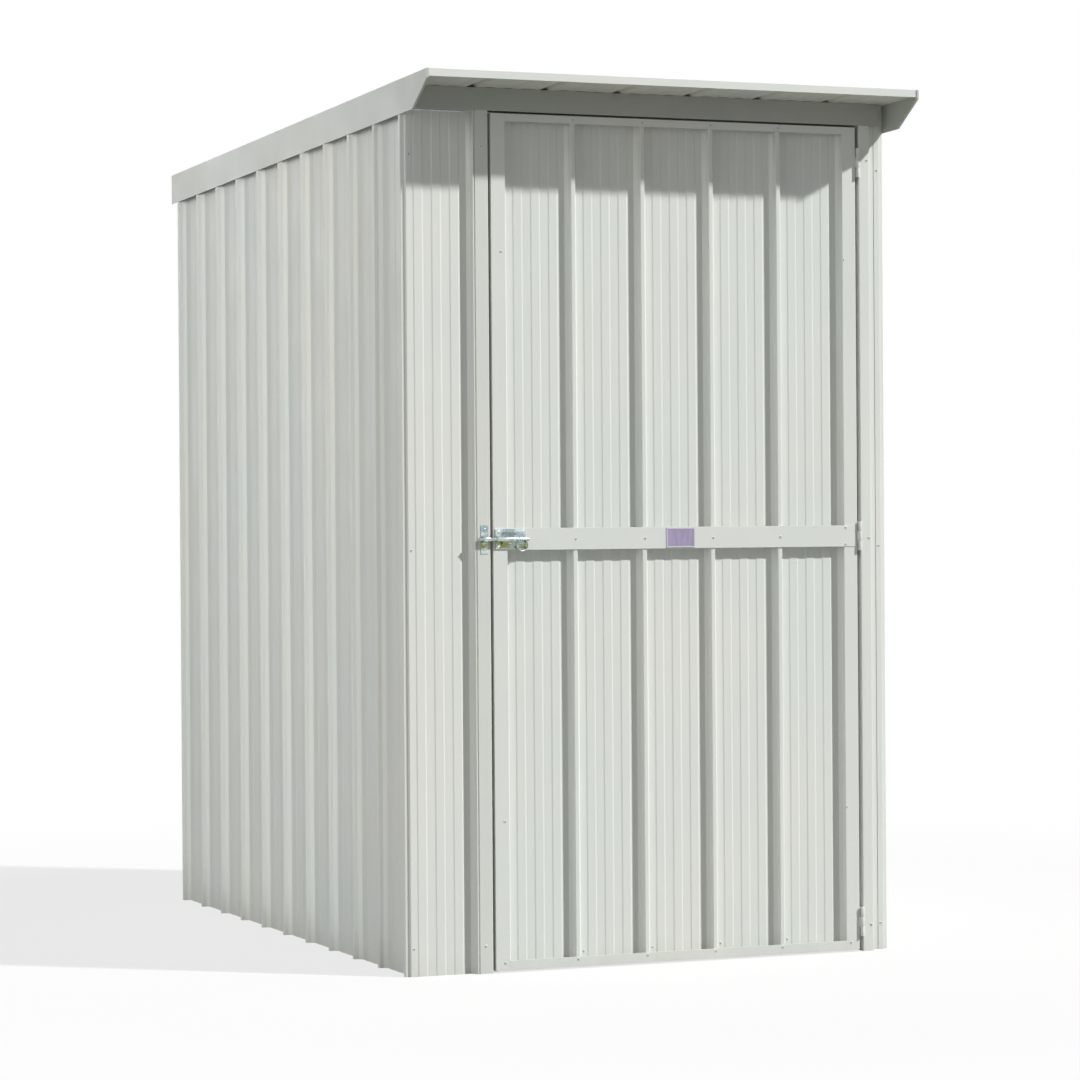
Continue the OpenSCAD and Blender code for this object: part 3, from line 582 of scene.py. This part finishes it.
# pan-head screw with a cross recess
head = turned([(0, -0.6), (2.2, -0.6), (3.5, 0.0), (3.55, 0.5), (3.3, 1.25), (2.6, 1.9), (1.5, 2.25),
               (0, 2.35)], 32)
screw_mesh = bpy.data.meshes.new("screw")
head.to_mesh(screw_mesh)
head.free()
screw = bpy.data.objects.new("screw", screw_mesh)
CROSS, CROSS_TAPER, CROSS_Z = (3.9, 0.9, 3.0), (0.45, 0.6), 2.6
cross_mesh = bpy.data.meshes.new("cross")
bm = bmesh.new()
for angle in (0, math.pi / 2):
    made = bmesh.ops.create_cube(bm, size=1.0)["verts"]
    bmesh.ops.scale(bm, vec=CROSS, verts=made)
    for v in made:
        if v.co.z < 0:
            v.co.x *= CROSS_TAPER[0]
            v.co.y *= CROSS_TAPER[1]
    bmesh.ops.translate(bm, vec=(0, 0, CROSS_Z), verts=made)
    bmesh.ops.rotate(bm, matrix=Matrix.Rotation(angle, 3, "Z"), verts=made)
bm.to_mesh(cross_mesh)
bm.free()
cross = bpy.data.objects.new("cross", cross_mesh)
for o in (screw, cross):
    scene.collection.objects.link(o)
cut = screw.modifiers.new("cut", "BOOLEAN")
cut.object, cut.operation, cut.solver, cut.use_self = cross, "DIFFERENCE", "EXACT", True
bpy.context.view_layer.update()
screw_shape = bmesh.new()
screw_shape.from_mesh(screw.evaluated_get(bpy.context.evaluated_depsgraph_get()).to_mesh())
for o in (screw, cross):
    bpy.data.objects.remove(o)

lo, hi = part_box("bolt_plate")
plate_x0, plate_x1 = lo.x / MM, hi.x / MM
PLATE = 1.5
screws_x = (plate_x0 + 6.5, plate_x1 - 6.5)
spots = [((x, MID_Y - PLATE, MID_Z + dz), SOUTH) for x in screws_x for dz in (16.5, -16.5)]
strewn("bolt_screws", screw_shape, spots, [hardware_zinc], "door")
lo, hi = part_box("bolt_keeper")
keeper_x = (lo.x + hi.x) / 2 / MM
spots = [((keeper_x, CREST_Y - PLATE, MID_Z + dz), SOUTH) for dz in (21.5, -21.5)]
strewn("keeper_screws", screw_shape, spots, [hardware_zinc], "shed")


def lipped(name, place, stations, material):
    """Hemmed sheet edge 2.7 mm wide that stands 1 mm proud. place(across, out, along) gives a point"""
    profile = [(0.3, 0), (0.3, 0.5), (0.6, 0.9), (1.0, 1.05), (2.3, 1.05), (2.7, 0.9), (3.0, 0.5), (3.0, 0)]
    bm = bmesh.new()
    rings = [[bm.verts.new(Vector(place(a, o, s)) * MM) for a, o in profile] for s in stations]
    for lower, upper in zip(rings, rings[1:]):
        for k in range(len(profile)):
            n = (k + 1) % len(profile)
            bm.faces.new([lower[k], lower[n], upper[n], upper[k]])
    bm.faces.new(rings[0])
    bm.faces.new(rings[-1])
    bmesh.ops.recalc_face_normals(bm, faces=bm.faces)
    mesh = bpy.data.meshes.new(name)
    bm.to_mesh(mesh)
    bm.free()
    finish_mesh(new_object(name, mesh, [material], "shed"))


lipped("jamb_lap", lambda a, o, s: (LATCH_X - LATCH_JAMB + a, CREST_Y - o, s),
       (0.0, 920.0, 1840.0, HEADER_Z), wall_paint)
lipped("panel_head_lap", lambda a, o, s: (s, FRONT_PAN_Y - STRIP_H - o, HEADER_Z - 0.2 - a),
       (-HALF_W + 3, -500.0, LATCH_X - LATCH_JAMB - 12), cut_edge)

# rivets that hold the hinge leaves, in the gap
stud = turned([(0, -0.3), (2.0, -0.3), (2.1, 0.0), (2.0, 0.35), (1.5, 0.7), (0.8, 0.85), (0, 0.88)], 16)
PIN_X, PIN_Y = 509.8, -811.0
STUD_OUT, STUD_BACK, STUD_STEP = 3, 16, 22
leaves = [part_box("frame_leaf_" + which) for which in ("low", "mid", "high")]
heights = [(lo.z + hi.z) / 2 / MM + dz for lo, hi in leaves for dz in (-STUD_STEP, 0, STUD_STEP)]
for name, body, way in (("door_leaf_rivets", "door", 1), ("frame_leaf_rivets", "shed", -1)):
    spots = [((PIN_X - way * STUD_OUT, PIN_Y + STUD_BACK, z), (way, 0, 0)) for z in heights]
    strewn(name, stud, spots, [trim_paint], body)

# ---------------------------------------------------------------- finishes of the CAD parts

plate_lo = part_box("blank_plate")[0]
finishes = {
    # the header's darker tone is painted shade
    "door_header": header_paint,
    "blank_plate": plate_finish("blank_plate_enamel", plate_lo.y + 0.0003),
    # the fascias' and flashing's darker tone is painted shade
    "left_fascia": fascia_shade_paint, "right_fascia": fascia_shade_paint,
    "back_flashing": fascia_shade_paint, "roof_front_cap": trim_paint,
    "bolt_keeper": hardware_zinc, "bolt_plate": hardware_zinc, "bolt_rod": hardware_zinc,
}
for name, obj in nodes.items():
    if obj.hide_render:
        continue
    finish = finishes.get(name)
    if finish is None:
        framing = name.endswith(("_post", "_base_rail", "_girt", "purlin")) or name in (
            "left_top_rail", "right_top_rail", "back_top_rail")
        finish = frame_zinc if framing else trim_paint
    obj.data.materials.clear()
    obj.data.materials.append(finish)
    weld = obj.modifiers.new("weld", "WELD")
    weld.merge_threshold = 0.00001
    edges = obj.modifiers.new("edges", "BEVEL")
    edges.width = 0.0003
    edges.segments = 2
    edges.limit_method = "ANGLE"
    edges.angle_limit = math.radians(30)
    edges.harden_normals = True

# ---------------------------------------------------------------- studio


def sun(name, azimuth, elevation, strength, softness):
    """A lamp azimuth degrees to the right of the front and that high"""
    lamp = bpy.data.lights.new(name, "SUN")
    lamp.energy, lamp.angle = strength, math.radians(softness)
    obj = bpy.data.objects.new(name, lamp)
    scene.collection.objects.link(obj)
    a, e = math.radians(azimuth), math.radians(elevation)
    towards = Vector((math.sin(a) * math.cos(e), -math.cos(a) * math.cos(e), math.sin(e)))
    obj.rotation_euler = towards.to_track_quat("Z", "Y").to_euler()


sun("key", 52, 39, 3.75, 2.4)
sun("left_fill", -80, 6, 1.1, 45)
sun("back_fill", 175, 6, 1.1, 60)

# softbox with a grid: it stands in front and to the left, and rakes along the left wall's ribs
SOFTBOX_AT, SOFTBOX_TURN, GRID = (-1.446, -2.925, 1.0), math.radians(15), math.radians(6)
softbox = bpy.data.lights.new("side_strip", "AREA")
softbox.shape, softbox.size, softbox.size_y = "RECTANGLE", 0.44, 2.4
softbox.spread, softbox.energy = GRID, 1.1
side_strip = bpy.data.objects.new("side_strip", softbox)
scene.collection.objects.link(side_strip)
side_strip.location = SOFTBOX_AT
towards = Vector((-math.sin(SOFTBOX_TURN), -math.cos(SOFTBOX_TURN), 0.0))
side_strip.rotation_euler = towards.to_track_quat("Z", "Y").to_euler()
side_strip.visible_camera = False

world = bpy.data.worlds.new("studio")
scene.world = world
world.use_nodes = True
t = Tree(world.node_tree)
seen = t.seen()
ambient = t.add("ShaderNodeBackground", {"Color": (0.97, 0.99, 1.0, 1.0), "Strength": 0.25}).outputs[0]
white = t.add("ShaderNodeBackground", {"Color": (1.0, 1.0, 1.0, 1.0), "Strength": 1.0}).outputs[0]
mixed = t.add("ShaderNodeMixShader", {0: seen, 1: ambient, 2: white}).outputs[0]
t.add("ShaderNodeOutputWorld", {"Surface": mixed})

# pale near the shed, where it holds the shadow, and white farther off
FLOOR_REACH, FLOOR_Z = 60.0, -0.0003
floor_mesh = bpy.data.meshes.new("floor")
bm = bmesh.new()
bmesh.ops.create_grid(bm, x_segments=8, y_segments=8, size=FLOOR_REACH)
bm.to_mesh(floor_mesh)
bm.free()
floor = bpy.data.objects.new("floor", floor_mesh)
floor.location.z = FLOOR_Z
scene.collection.objects.link(floor)
floor_material = bpy.data.materials.new("floor")
floor_material.use_nodes = True
t = Tree(floor_material.node_tree)
seen = t.seen()
far = t.add("ShaderNodeVectorMath", {0: t.place()}, operation="LENGTH").outputs["Value"]
share = t.span(far, 1.6, 3.6, 0.72, 1.0, smooth=True)
glow = t.add("ShaderNodeEmission", {"Color": (1.0, 1.0, 1.0, 1.0), "Strength": 1.0}).outputs[0]
pale = t.add("ShaderNodeBsdfDiffuse", {"Color": (0.80, 0.80, 0.79, 1.0)}).outputs[0]
plain = t.add("ShaderNodeBsdfDiffuse", {"Color": (0.27, 0.27, 0.265, 1.0)}).outputs[0]
shown = t.add("ShaderNodeMixShader", {0: share, 1: pale, 2: glow}).outputs[0]
mixed = t.add("ShaderNodeMixShader", {0: seen, 1: plain, 2: shown}).outputs[0]
t.add("ShaderNodeOutputMaterial", {"Surface": mixed})
floor.data.materials.append(floor_material)
